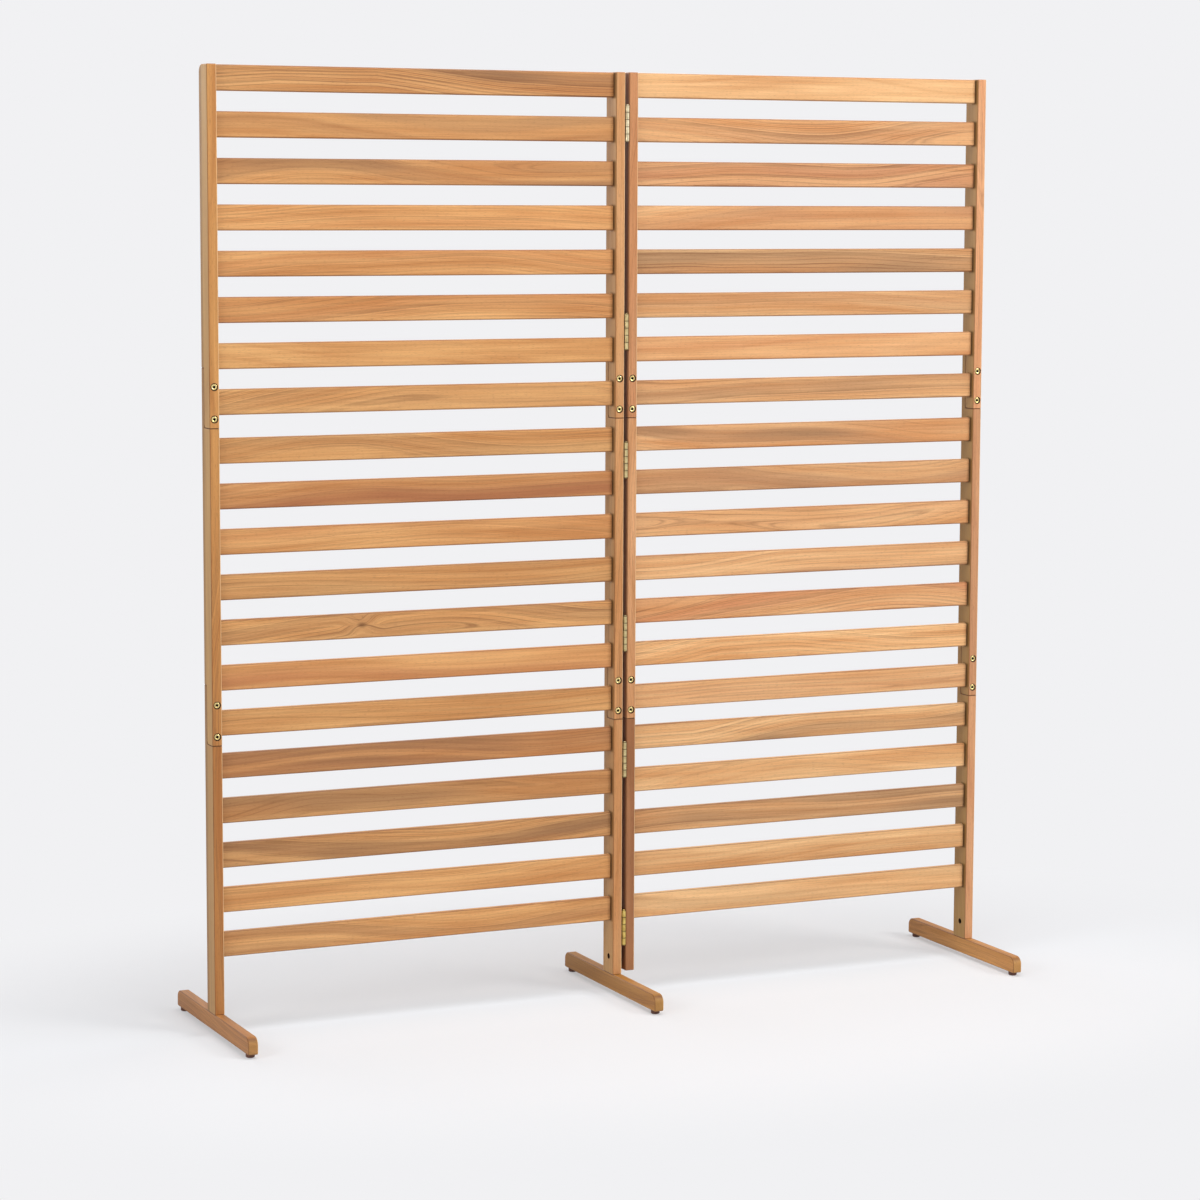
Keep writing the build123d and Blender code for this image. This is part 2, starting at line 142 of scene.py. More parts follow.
def grow_wood(tree, run, across, through, number, seed, tones, chosen=None, nearest=6):
    """Colour and relief of oiled acacia: figure, heartwood, dark growth lines, fibres and pores.

    run goes along the grain, across over the board's face, through into it. Every number is a
    board of its own. chosen says how much red and grey heartwood, lightness and growth lines are
    added on boards that were picked out. nearest is how close in mm the log's heart may lie behind
    the middle. Returns the colour, the fibres and the relief.
    """
    board = add(tree, "CombineXYZ", {0: number, 1: float(seed)})
    chance = add(tree, "TexWhiteNoise", {"Vector": board}).outputs["Color"]
    luck = add(tree, "SeparateColor", {0: chance}).outputs
    board = add(tree, "CombineXYZ", {0: number, 1: seed + 0.5})
    chance = add(tree, "TexWhiteNoise", {"Vector": board}).outputs["Color"]
    tint = add(tree, "SeparateColor", {0: chance}).outputs
    red_share = add(tree, "MapRange", {0: tint[0], 1: 0.35, 2: 1.0, 4: 0.5})
    grey_share = add(tree, "MapRange", {0: tint[1], 1: 0.45, 2: 1.0, 4: 0.5})
    light = add(tree, "MapRange", {0: tint[2], 3: 0.95, 4: 1.05})
    lined = add(tree, "MapRange", {0: luck[0], 1: 0.15, 2: 1.0, 3: 0.06, 4: 0.55})
    for board, (red, grey, lighter, more_lines) in (chosen or {}).items():
        is_it = add(tree, "Math", {0: number, 1: float(board), 2: 0.5}, operation="COMPARE")
        red_share = add(tree, "Math", {0: is_it, 1: red, 2: red_share}, operation="MULTIPLY_ADD")
        grey_share = add(tree, "Math", {0: is_it, 1: grey, 2: grey_share}, operation="MULTIPLY_ADD")
        light = add(tree, "Math", {0: is_it, 1: lighter, 2: light}, operation="MULTIPLY_ADD")
        lined = add(tree, "Math", {0: is_it, 1: more_lines, 2: lined}, operation="MULTIPLY_ADD")

    # Each board starts at its own place in the pattern
    far = add(tree, "Math", {0: luck[0], 1: 60.0}, operation="MULTIPLY")
    run = add(tree, "Math", {0: run, 1: far}, operation="ADD")
    inside = add(tree, "CombineXYZ", {0: run, 1: across, 2: through})

    # The heart of the log lies above, below or behind the board, and wanders slowly along it, so
    # that the rings run out at the board's face in long flames
    slow = add(tree, "TexNoise", {"W": run, "Scale": 1.1, "Detail": 1.0}, noise_dimensions="1D")
    wander = add(tree, "MapRange", {0: slow, 1: 0.25, 2: 0.75, 3: -32 * MM, 4: 32 * MM})
    heart = add(tree, "MapRange", {0: luck[1], 3: -60 * MM, 4: 60 * MM})
    depth = add(tree, "MapRange", {0: luck[2], 3: nearest * MM, 4: (nearest + 39) * MM})
    beside = add(tree, "Math", {0: across, 1: heart}, operation="ADD")
    beside = add(tree, "Math", {0: beside, 1: wander}, operation="ADD")
    bent = add(tree, "Math", {0: run, 1: 7.3}, operation="ADD")
    bent = add(tree, "TexNoise", {"W": bent, "Scale": 1.5, "Detail": 0.0}, noise_dimensions="1D")
    bent = add(tree, "Math", {0: bent, 1: 0.5}, operation="SUBTRACT")
    bend = add(tree, "MapRange", {0: luck[0], 1: 0.3, 3: 6 * MM, 4: 42 * MM})
    bent = add(tree, "Math", {0: bent, 1: bend}, operation="MULTIPLY")
    behind = add(tree, "Math", {0: through, 1: depth}, operation="ADD")
    behind = add(tree, "Math", {0: behind, 1: bent}, operation="ADD")
    from_heart = add(tree, "CombineXYZ", {1: beside, 2: behind})
    radius = add(tree, "VectorMath", {0: from_heart}, operation="LENGTH")
    loose = add(tree, "Mapping", {"Vector": inside, "Scale": (2.6, 20.0, 20.0)})
    ripple = add(tree, "TexNoise", {"Vector": loose, "Scale": 1.0, "Detail": 2.0})
    radius = add(tree, "Math", {0: ripple, 1: 9 * MM, 2: radius}, operation="MULTIPLY_ADD")

    # Growth zones about 12 mm wide, and thin dark lines about 6 mm apart
    zones = {"W": radius, "Scale": 85.0, "Detail": 1.0}
    zones = add(tree, "TexNoise", zones, noise_dimensions="1D")
    lines = {"W": radius, "Scale": 170.0, "Detail": 2.0}
    lines = add(tree, "TexNoise", lines, noise_dimensions="1D")
    off_line = add(tree, "Math", {0: lines, 1: 0.5}, operation="SUBTRACT")
    off_line = add(tree, "Math", {0: off_line}, operation="ABSOLUTE")
    line = add(tree, "MapRange", {0: off_line, 2: 0.06, 3: 1.0, 4: 0.0})
    # Clouds of about 420 by 55 mm, and streaks of about 600 by 16 mm
    soft = add(tree, "Mapping", {"Vector": inside, "Scale": (2.4, 18.0, 18.0)})
    clouds = add(tree, "TexNoise", {"Vector": soft, "Scale": 1.0, "Detail": 2.0})
    tight = add(tree, "Mapping", {"Vector": inside, "Scale": (1.6, 64.0, 64.0)})
    streaks = {"Vector": tight, "Scale": 1.0, "Detail": 5.0, "Roughness": 0.75}
    streaks = add(tree, "TexNoise", streaks)
    # Fibres about 1.5 mm apart, and pores of about 0.7 by 9 mm, coarser than real so that they show
    thread = add(tree, "Mapping", {"Vector": inside, "Scale": (7.0, 650.0, 650.0)})
    fibres = add(tree, "TexNoise", {"Vector": thread, "Scale": 1.0, "Detail": 2.0})
    dash = add(tree, "Mapping", {"Vector": inside, "Scale": (110.0, 1500.0, 1500.0)})
    pores = add(tree, "TexNoise", {"Vector": dash, "Scale": 1.0, "Detail": 1.0})
    pore = add(tree, "MapRange", {0: pores, 1: 0.6, 2: 0.72, 4: 1.0})

    figure = add(tree, "Math", {0: zones, 1: 0.8, 2: streaks}, operation="MULTIPLY_ADD")
    figure = add(tree, "Math", {0: clouds, 1: 1.1, 2: figure}, operation="MULTIPLY_ADD")
    share = add(tree, "MapRange", {0: figure, 1: 1.16, 2: 1.74})
    colour = {0: share, 6: rgb(tones["deep"]), 7: rgb(tones["pale"])}
    colour = add(tree, "Mix", colour, data_type="RGBA")

    # Heartwood lies in bands about 30 mm wide, and fades in and out along the board
    broad = {"W": radius, "Scale": 34.0, "Detail": 2.0}
    broad = add(tree, "TexNoise", broad, noise_dimensions="1D")
    banded = {0: broad, 1: 0.42, 2: 0.64, 4: 1.0}
    banded = add(tree, "MapRange", banded, interpolation_type="SMOOTHSTEP")
    patchy = add(tree, "MapRange", {0: clouds, 1: 0.36, 2: 0.6, 3: 0.3, 4: 1.0})
    heartwood = add(tree, "Math", {0: banded, 1: patchy}, operation="MULTIPLY")
    red = add(tree, "MapRange", {0: heartwood, 3: 0.3, 4: 1.0})
    red = add(tree, "Math", {0: red, 1: red_share}, operation="MULTIPLY")
    colour = add(tree, "Mix", {0: red, 6: colour, 7: rgb(tones["red"])}, data_type="RGBA")
    grey = add(tree, "Math", {0: heartwood, 1: grey_share}, operation="MULTIPLY")
    colour = add(tree, "Mix", {0: grey, 6: colour, 7: rgb(tones["grey"])}, data_type="RGBA")

    # Growth lines are strong on some boards and nearly gone on others
    fading = add(tree, "MapRange", {0: streaks, 1: 0.4, 2: 0.62, 3: 1.0, 4: 0.25})
    dark = add(tree, "Math", {0: line, 1: fading}, operation="MULTIPLY")
    dark = add(tree, "Math", {0: dark, 1: lined}, operation="MULTIPLY")
    colour = add(tree, "Mix", {0: dark, 6: colour, 7: rgb(GROWTH_LINE)}, data_type="RGBA")
    dark = add(tree, "MapRange", {0: fibres, 1: 0.35, 2: 0.65, 3: 0.17, 4: 0.0})
    colour = add(tree, "Mix", {0: dark, 6: colour, 7: rgb(FIBRE_SHADE)}, data_type="RGBA")
    dark = add(tree, "Math", {0: pore, 1: 0.32}, operation="MULTIPLY")
    colour = add(tree, "Mix", {0: dark, 6: colour, 7: rgb(OPEN_PORE)}, data_type="RGBA")
    colour = add(tree, "HueSaturation", {"Value": light, "Color": colour})

    relief = add(tree, "Math", {0: zones, 1: 0.5, 2: fibres}, operation="MULTIPLY_ADD")
    relief = add(tree, "Math", {0: relief, 1: pore}, operation="SUBTRACT")
    return colour, fibres, relief


def facing(tree, normal):
    """How squarely a face looks along each axis, and the most of the three, less on an edge."""
    looks = add(tree, "VectorMath", {0: normal}, operation="ABSOLUTE")
    looks = add(tree, "SeparateXYZ", {0: looks}).outputs
    squarest = add(tree, "Math", {0: looks[0], 1: looks[1]}, operation="MAXIMUM")
    squarest = add(tree, "Math", {0: squarest, 1: looks[2]}, operation="MAXIMUM")
    return looks, squarest


def nearest_row(tree, height, lowest, pitch):
    """The number of the nearest of evenly spaced rows, and how far above its middle a height is."""
    steps = add(tree, "Math", {0: height, 1: lowest}, operation="SUBTRACT")
    steps = add(tree, "Math", {0: steps, 1: pitch}, operation="DIVIDE")
    number = add(tree, "Math", {0: steps}, operation="ROUND")
    above = add(tree, "Math", {0: steps, 1: number}, operation="SUBTRACT")
    return number, add(tree, "Math", {0: above, 1: pitch}, operation="MULTIPLY")


def oil_wood(material, tree, colour, fibres, relief, along, shaded=None, end_tone="#8f6238"):
    """The worked surface: end grain takes up more oil. Edges that face left are darkened with
    painted shade, and edges that face right are lightened with a painted highlight. along is the
    axis of the grain. shaded is the painted shade in seams, round bolts, in the nut's hole, round
    the slats' seats and at the slats' ends; it also makes the surface more matt there.
    """
    normal = add(tree, "TexCoord").outputs["Normal"]
    looks, squarest = facing(tree, normal)
    sideways = add(tree, "SeparateXYZ", {0: normal}).outputs[0]
    # Painted shade on edges that face left
    to_left = add(tree, "MapRange", {0: sideways, 1: 0.05, 2: 0.3, 3: 0.7, 4: 0.0})
    edge = add(tree, "MapRange", {0: squarest, 1: 0.78, 2: 0.98, 3: 1.0, 4: 0.0})
    edge = add(tree, "Math", {0: edge, 1: to_left}, operation="MULTIPLY")
    colour = add(tree, "Mix", {0: edge, 6: colour, 7: rgb(LEFT_EDGE_PAINTED_SHADE)}, data_type="RGBA")
    # Painted highlight on edges that face right, left out where painted shade lies
    to_right = add(tree, "MapRange", {0: sideways, 1: 0.05, 2: 0.35, 4: 0.6})
    rim = add(tree, "MapRange", {0: squarest, 1: 0.96, 2: 0.995, 3: 1.0, 4: 0.0})
    rim = add(tree, "Math", {0: rim, 1: to_right}, operation="MULTIPLY")
    if shaded:
        clear_of_painted_shade = add(tree, "MapRange", {0: shaded, 2: 0.4, 3: 1.0, 4: 0.0})
        rim = add(tree, "Math", {0: rim, 1: clear_of_painted_shade}, operation="MULTIPLY")
    colour = add(tree, "Mix", {0: rim, 6: colour, 7: rgb(RIGHT_RIM_PAINTED_HIGHLIGHT)}, data_type="RGBA")
    end = add(tree, "MapRange", {0: looks[along], 1: 0.6, 2: 0.9, 4: 0.45})
    colour = add(tree, "Mix", {0: end, 6: colour, 7: rgb(end_tone)}, data_type="RGBA")
    matt = add(tree, "MapRange", {0: fibres, 1: 0.3, 2: 0.7, 3: 0.58, 4: 0.48})
    # Painted shade in seams, round bolts, in the nut's hole, round the slats' seats and at the
    # slats' ends
    if shaded:
        colour = add(tree, "Mix", {0: shaded, 6: colour, 7: rgb(PAINTED_SHADE)}, data_type="RGBA")
        matt = add(tree, "Math", {0: shaded, 1: 0.4, 2: matt}, operation="MULTIPLY_ADD")
    bump = add(tree, "Bump", {"Strength": 0.35, "Distance": 0.15 * MM, "Height": relief})
    surface = {
        "Base Color": colour,
        "Roughness": matt,
        "Normal": bump,
        "IOR": 1.5,
        "Specular IOR Level": 0.35,
    }
    shader = add(tree, "BsdfPrincipled", surface)
    add(tree, "OutputMaterial", {0: shader})
    return material


def oiled_slats(name, seed, tones, lowest, ends, chosen, knot=None):
    """Oiled acacia slats: satin and warm, planed and sanded, each cut from a board of its own.

    Their ends are darkened with painted shade where they meet the posts.
    """
    material, tree = start_material(name)
    x, y, z = add(tree, "SeparateXYZ", {0: add(tree, "TexCoord").outputs["Object"]}).outputs
    number, across = nearest_row(tree, z, lowest, SLAT_PITCH)
    from_left = add(tree, "Math", {0: x, 1: ends[0]}, operation="SUBTRACT")
    from_right = add(tree, "Math", {0: ends[1], 1: x}, operation="SUBTRACT")
    from_end = add(tree, "Math", {0: from_left, 1: from_right}, operation="MINIMUM")
    # Painted shade at the slats' ends, against the posts
    shaded = add(tree, "MapRange", {0: from_end, 1: 0.5 * MM, 2: 3 * MM, 3: 0.6, 4: 0.0})
    if knot:
        # The grain flows round the knot, which is dark and about 14 by 7 mm
        along = add(tree, "Math", {0: x, 1: knot[0]}, operation="SUBTRACT")
        along = add(tree, "Math", {0: along, 1: 0.5}, operation="MULTIPLY")
        up = add(tree, "Math", {0: z, 1: knot[1]}, operation="SUBTRACT")
        away = add(tree, "CombineXYZ", {0: along, 1: up})
        away = add(tree, "VectorMath", {0: away}, operation="LENGTH")
        swell = {0: away, 2: 26 * MM, 3: 14 * MM, 4: 0.0}
        swell = add(tree, "MapRange", swell, interpolation_type="SMOOTHSTEP")
        side = add(tree, "Math", {0: up}, operation="SIGN")
        across = add(tree, "Math", {0: swell, 1: side, 2: across}, operation="MULTIPLY_ADD")
    colour, fibres, relief = grow_wood(tree, x, across, y, number, seed, tones, chosen)
    if knot:
        core = add(tree, "MapRange", {0: away, 1: 1.5 * MM, 2: 6 * MM, 3: 0.75, 4: 0.0})
        colour = add(tree, "Mix", {0: core, 6: colour, 7: rgb(KNOT_CORE)}, data_type="RGBA")
    return oil_wood(material, tree, colour, fibres, relief, "X", shaded)


def lap_seams(tree, y, z):
    """How far a point is from the seams of a post's laps, and from the height of a lap's bolt.

    A seam runs in from the front at the shoulder, up between the posts, and out at the back.
    """
    back = add(tree, "Math", {0: y, 1: LAP_FACE}, operation="SUBTRACT")
    ahead = add(tree, "Math", {0: LAP_FACE, 1: y}, operation="SUBTRACT")
    off_face = add(tree, "Math", {0: back}, operation="ABSOLUTE")
    seam = bolt = None
    for shoulder in SHOULDERS:
        up = add(tree, "Math", {0: z, 1: shoulder}, operation="SUBTRACT")
        level = add(tree, "Math", {0: up}, operation="ABSOLUTE")
        front = add(tree, "Math", {0: level, 1: back}, operation="MAXIMUM")
        level = add(tree, "Math", {0: up, 1: LAP_HEIGHT}, operation="SUBTRACT")
        level = add(tree, "Math", {0: level}, operation="ABSOLUTE")
        rear = add(tree, "Math", {0: level, 1: ahead}, operation="MAXIMUM")
        beyond = add(tree, "Math", {0: up, 1: LAP_HEIGHT / 2}, operation="SUBTRACT")
        beyond = add(tree, "Math", {0: beyond}, operation="ABSOLUTE")
        beyond = add(tree, "Math", {0: beyond, 1: LAP_HEIGHT / 2}, operation="SUBTRACT")
        between = add(tree, "Math", {0: off_face, 1: beyond}, operation="MAXIMUM")
        nearest = add(tree, "Math", {0: front, 1: rear}, operation="MINIMUM")
        nearest = add(tree, "Math", {0: nearest, 1: between}, operation="MINIMUM")
        seam = add(tree, "Math", {0: seam, 1: nearest}, operation="MINIMUM") if seam else nearest
        for rise in BOLT_RISES:
            level = add(tree, "Math", {0: up, 1: rise}, operation="SUBTRACT")
            level = add(tree, "Math", {0: level}, operation="ABSOLUTE")
            bolt = add(tree, "Math", {0: bolt, 1: level}, operation="MINIMUM") if bolt else level
    return seam, bolt


def nut_hole(tree, off_middle, y, z, place):
    """The painted shade in the barrel nut's hole, which opens to the slats' side only."""
    up = add(tree, "Math", {0: z, 1: NUT_HOLE_HEIGHT}, operation="SUBTRACT")
    off_axis = add(tree, "CombineXYZ", {0: y, 1: up})
    off_axis = add(tree, "VectorMath", {0: off_axis}, operation="LENGTH")
    hole = {0: off_axis, 1: NUT_HOLE_RADIUS, 2: NUT_HOLE_RADIUS + 0.5 * MM, 3: 0.97, 4: 0.0}
    hole = add(tree, "MapRange", hole)
    depth = add(tree, "Math", {0: off_middle, 1: SLAT_SIDE[place]}, operation="MULTIPLY")
    opened = {0: depth, 1: NUT_HOLE_END - 2.5 * MM, 2: NUT_HOLE_END - 0.5 * MM}
    opened = add(tree, "MapRange", opened)
    return add(tree, "Math", {0: hole, 1: opened}, operation="MULTIPLY")


def slat_seats(tree, y, z, inner, part):
    """The painted shade where slats enter a post's side: in front of each, and along the joint
    behind it.
    """
    number, off = nearest_row(tree, z, LOWEST_SLAT[part], SLAT_PITCH)
    off = add(tree, "Math", {0: off}, operation="ABSOLUTE")
    level = {0: off, 1: SLAT_HEIGHT / 2 - 1 * MM, 2: SLAT_HEIGHT / 2 + 3 * MM, 3: 1.0, 4: 0.0}
    level = add(tree, "MapRange", level)
    deep = {0: y, 1: SLAT_FRONT - 7 * MM, 2: SLAT_FRONT - 3 * MM, 3: 0.15, 4: 0.6}
    deep = add(tree, "MapRange", deep)
    behind = {0: y, 1: SLAT_BACK + 0.5 * MM, 2: SLAT_BACK + 2 * MM, 3: 1.0, 4: 0.0}
    behind = add(tree, "MapRange", behind)
    there = {0: number, 1: (SLATS[part] - 1) / 2, 2: SLATS[part] / 2 - 0.4}
    there = add(tree, "Math", there, operation="COMPARE")
    seat = add(tree, "Math", {0: level, 1: deep}, operation="MULTIPLY")
    seat = add(tree, "Math", {0: seat, 1: behind}, operation="MULTIPLY")
    seat = add(tree, "Math", {0: seat, 1: there}, operation="MULTIPLY")
    return add(tree, "Math", {0: seat, 1: inner}, operation="MULTIPLY")


def oiled_post(name, seed, tones, place, part, pick):
    """An oiled acacia post: satin and warm, with straight grain up its length.

    Painted shade darkens its lap seams, a ring round its bolts, the barrel nut's hole and where
    slats enter. The side that takes the slats is painted darker and more olive, as painted shade.
    The side between the leaves is painted red-brown, as painted shade. The far left side is painted
    paler and greyer in front, as painted light from the left, and is darker towards its rear.
    """
    material, tree = start_material(name)
    surface = add(tree, "TexCoord").outputs
    x, y, z = add(tree, "SeparateXYZ", {0: surface["Object"]}).outputs
    off_middle = add(tree, "Math", {0: x, 1: POST_MIDDLE[place]}, operation="SUBTRACT")
    board = {seed: pick}
    wood = grow_wood(tree, z, off_middle, y, float(seed), seed, tones, board, nearest=26)
    colour, fibres, relief = wood

    seam, level = lap_seams(tree, y, z)
    # Painted shade along the lap seams
    shaded = add(tree, "MapRange", {0: seam, 1: 0.2 * MM, 2: 1.1 * MM, 3: 0.62, 4: 0.0})
    # Painted shade in a ring round each bolt head, in its counterbore
    off_bolt = add(tree, "CombineXYZ", {0: off_middle, 1: level})
    off_bolt = add(tree, "VectorMath", {0: off_bolt}, operation="LENGTH")
    ring = {0: off_bolt, 1: COUNTERBORE + 0.1 * MM, 2: COUNTERBORE + 0.8 * MM, 3: 0.9, 4: 0.0}
    ring = add(tree, "MapRange", ring)
    shaded = add(tree, "Math", {0: shaded, 1: ring}, operation="MAXIMUM")
    if part == "bottom" and place != "right_inner":
        hole = nut_hole(tree, off_middle, y, z, place)
        shaded = add(tree, "Math", {0: shaded, 1: hole}, operation="MAXIMUM")
    sideways = add(tree, "SeparateXYZ", {0: surface["Normal"]}).outputs[0]
    sideways = add(tree, "Math", {0: sideways, 1: SLAT_SIDE[place]}, operation="MULTIPLY")
    inner = add(tree, "MapRange", {0: sideways, 1: 0.6, 2: 0.95})
    seats = slat_seats(tree, y, z, inner, part)
    shaded = add(tree, "Math", {0: shaded, 1: seats}, operation="MAXIMUM")

    # The slat side is painted darker and more olive as painted shade, most on the right outer post
    slat_side_shade_share = 0.78 if place == "right_outer" else 0.45
    oiled = add(tree, "Math", {0: inner, 1: slat_side_shade_share}, operation="MULTIPLY")
    colour = add(tree, "Mix", {0: oiled, 6: colour, 7: rgb(SLAT_SIDE_PAINTED_SHADE)}, data_type="RGBA")
    if place == "left_outer":
        # The far left side is painted paler and greyer, as painted light from the left
        outer = add(tree, "MapRange", {0: sideways, 1: -0.9, 2: -0.99, 4: 0.38})
        colour = add(tree, "Mix", {0: outer, 6: colour, 7: rgb(LEFT_SIDE_PAINTED_LIGHT)}, data_type="RGBA")
        # The far left side is darker towards its rear
        rear = {0: y, 1: POST_BACK - 16 * MM, 2: POST_BACK - 10 * MM, 4: 1.3}
        rear = add(tree, "MapRange", rear)
        outer = add(tree, "Math", {0: outer, 1: rear}, operation="MULTIPLY")
        colour = add(tree, "Mix", {0: outer, 6: colour, 7: rgb(DARKER_REAR)}, data_type="RGBA")
    if "inner" in place:
        # Painted shade on the side between the leaves, stronger deeper in
        outer = add(tree, "MapRange", {0: sideways, 1: -0.6, 2: -0.95, 4: 0.62})
        inward = {0: y, 1: POST_FRONT - 2 * MM, 2: POST_FRONT + 8 * MM, 3: 0.3, 4: 1.0}
        inward = add(tree, "MapRange", inward)
        outer = add(tree, "Math", {0: outer, 1: inward}, operation="MULTIPLY")
        colour = add(tree, "Mix", {0: outer, 6: colour, 7: rgb(GAP_SIDE_PAINTED_SHADE)}, data_type="RGBA")
    return oil_wood(material, tree, colour, fibres, relief, "Z", shaded)


def oiled_rail(name, seed, tones, place):
    """An oiled acacia foot rail: browner than the rest, its sanded ends showing open end grain."""
    material, tree = start_material(name)
    x, y, z = add(tree, "SeparateXYZ", {0: add(tree, "TexCoord").outputs["Object"]}).outputs
    off_middle = add(tree, "Math", {0: x, 1: POST_MIDDLE[place]}, operation="SUBTRACT")
    board = {seed: (0.1, 0.1, 0.0, 0.5)}
    wood = grow_wood(tree, y, z, off_middle, float(seed), seed, tones, board, nearest=16)
    colour, fibres, relief = wood
    return oil_wood(material, tree, colour, fibres, relief, "Y", end_tone="#b0874f")


def plated_steel(name, bright, dull, smoothest, roughest, middle=None):
    """Pressed or turned steel with thin yellow plating.

    It is warm and satin, browner and duller in patches, and paler on its edges, partly rubbed wear
    and partly a painted highlight. A hinge, whose middle is given, instead gets painted shade on its
    sides and between its knuckles.
    """
    material, tree = start_material(name)
    place = add(tree, "TexCoord").outputs
    # Patches of about 8 mm, and a grit of about 0.7 mm under the plating
    patches = add(tree, "TexNoise", {"Vector": place["Object"], "Scale": 130.0, "Detail": 3.0})
    grit = add(tree, "TexNoise", {"Vector": place["Object"], "Scale": 1400.0, "Detail": 2.0})
    looks, squarest = facing(tree, place["Normal"])
    dulled = add(tree, "MapRange", {0: patches, 1: 0.3, 2: 0.75, 4: 0.65})
    colour = add(tree, "Mix", {0: dulled, 6: rgb(bright), 7: rgb(dull)}, data_type="RGBA")
    if middle is None:
        # Paler edges: partly rubbed wear, partly a painted highlight
        rubbed_and_highlit = add(tree, "MapRange", {0: squarest, 1: 0.75, 2: 0.97, 3: 0.5, 4: 0.0})
        colour = add(tree, "Mix", {0: rubbed_and_highlit, 6: colour, 7: rgb(RUBBED_AND_HIGHLIT_PLATING)}, data_type="RGBA")
    else:
        height = add(tree, "SeparateXYZ", {0: place["Object"]}).outputs[2]
        off = nearest_row(tree, height, middle - KNUCKLE / 2, KNUCKLE)[1]
        off = add(tree, "Math", {0: off}, operation="ABSOLUTE")
        # Painted shade in the knuckle gaps and on the hinge's sides
        hinge_shade = add(tree, "MapRange", {0: off, 1: 0.4 * MM, 2: 1.3 * MM, 3: 0.85, 4: 0.0})
        hinge_side_shade = add(tree, "MapRange", {0: looks[0], 1: 0.45, 2: 0.95, 4: 0.45})
        hinge_shade = add(tree, "Math", {0: hinge_shade, 1: hinge_side_shade}, operation="MAXIMUM")
        colour = add(tree, "Mix", {0: hinge_shade, 6: colour, 7: rgb(HINGE_PAINTED_SHADE)}, data_type="RGBA")
    matt = add(tree, "MapRange", {0: patches, 1: 0.3, 2: 0.7, 3: smoothest, 4: roughest})
    bump = add(tree, "Bump", {"Strength": 0.2, "Distance": 0.05 * MM, "Height": grit})
    surface = {"Base Color": colour, "Metallic": 1.0, "Roughness": matt, "Normal": bump}
    shader = add(tree, "BsdfPrincipled", surface)
    add(tree, "OutputMaterial", {0: shader})
    return material


def moulded_polyethylene(name):
    """Brown moulded polyethylene: matt, faintly pitted, scuffed paler where it meets the ground."""
    material, tree = start_material(name)
    place = add(tree, "TexCoord").outputs["Object"]
    # Pits of about 1 mm, and scuffs of about 6 mm
    pits = add(tree, "TexNoise", {"Vector": place, "Scale": 900.0, "Detail": 3.0})
    scuffs = add(tree, "TexNoise", {"Vector": place, "Scale": 160.0, "Detail": 4.0})
    height = add(tree, "SeparateXYZ", {0: place}).outputs[2]
    low = add(tree, "MapRange", {0: height, 1: 0.0, 2: 2.5 * MM, 3: 0.6, 4: 0.0})
    patchy = add(tree, "MapRange", {0: scuffs, 1: 0.4, 2: 0.65})
    worn = add(tree, "Math", {0: low, 1: patchy}, operation="MULTIPLY")
    mottle = add(tree, "MapRange", {0: scuffs, 1: 0.3, 2: 0.7})
    colour = add(tree, "Mix", {0: mottle, 6: rgb("#4c2717"), 7: rgb("#5e3320")}, data_type="RGBA")
    colour = add(tree, "Mix", {0: worn, 6: colour, 7: rgb("#8d7463")}, data_type="RGBA")
    bump = add(tree, "Bump", {"Strength": 0.25, "Distance": 0.08 * MM, "Height": pits})
    surface = {"Base Color": colour, "Roughness": 0.5, "Normal": bump, "IOR": 1.5}
    shader = add(tree, "BsdfPrincipled", surface)
    add(tree, "OutputMaterial", {0: shader})
    return material


def dress(node, material):
    """Gives one solid its material."""
    mesh = nodes[node].data
    mesh.materials.clear()
    mesh.materials.append(material)


# Slats: the left leaf is a little browner, the right leaf a little paler and pinker. Of each
# frame's boards, counted from the lowest, some stand out: how much red heartwood, grey heartwood,
# lightness and growth lines they have more or less than others.
LEFT_SLATS = {"pale": "#eeb878", "deep": "#c8894e", "red": "#b9693e", "grey": "#946a46"}
RIGHT_SLATS = {"pale": "#f8ca92", "deep": "#d5985f", "red": "#c4724a", "grey": "#9b7450"}
CHOSEN = {
    ("left", "top"): {
        7: (0.3, 0.9, -0.08, 0.4),
        6: (0.2, 0.1, -0.02, 0.0),
        5: (0.3, 0.4, -0.04, 0.0),
        4: (0.0, 0.0, 0.04, 0.1),
        3: (0.3, 0.0, -0.02, 0.3),
        0: (0.1, 0.2, 0.0, 0.4),
    },
    ("left", "middle"): {
        6: (0.0, 0.0, 0.04, 0.2),
        5: (0.7, 0.0, -0.06, 0.2),
        2: (0.0, 0.1, 0.0, 0.3),
        1: (0.3, 0.1, 0.0, 0.0),
    },
    ("left", "bottom"): {
        4: (0.2, 0.5, -0.07, 0.3),
        3: (0.1, 0.4, -0.03, 0.3),
        2: (0.2, 0.5, -0.06, 0.4),
        1: (0.0, 0.0, 0.03, 0.1),
    },
    ("right", "top"): {
        6: (0.0, 0.4, -0.02, 0.2),
        5: (0.6, 0.2, -0.01, 0.5),
        4: (0.1, 0.0, 0.04, 0.0),
        3: (0.1, 0.7, -0.04, 0.5),
        0: (0.3, 0.2, 0.0, 0.2),
    },
    ("right", "middle"): {
        6: (0.0, 0.8, 0.03, 0.2),
        5: (0.0, 0.5, -0.02, 0.3),
        2: (0.3, 0.0, 0.0, 0.3),
        1: (0.0, 0.0, 0.05, 0.0),
    },
    ("right", "bottom"): {
        4: (0.1, 0.5, -0.03, 0.3),
        2: (0.2, 0.3, -0.04, 0.2),
        0: (0.0, 0.0, 0.04, 0.1),
    },
}
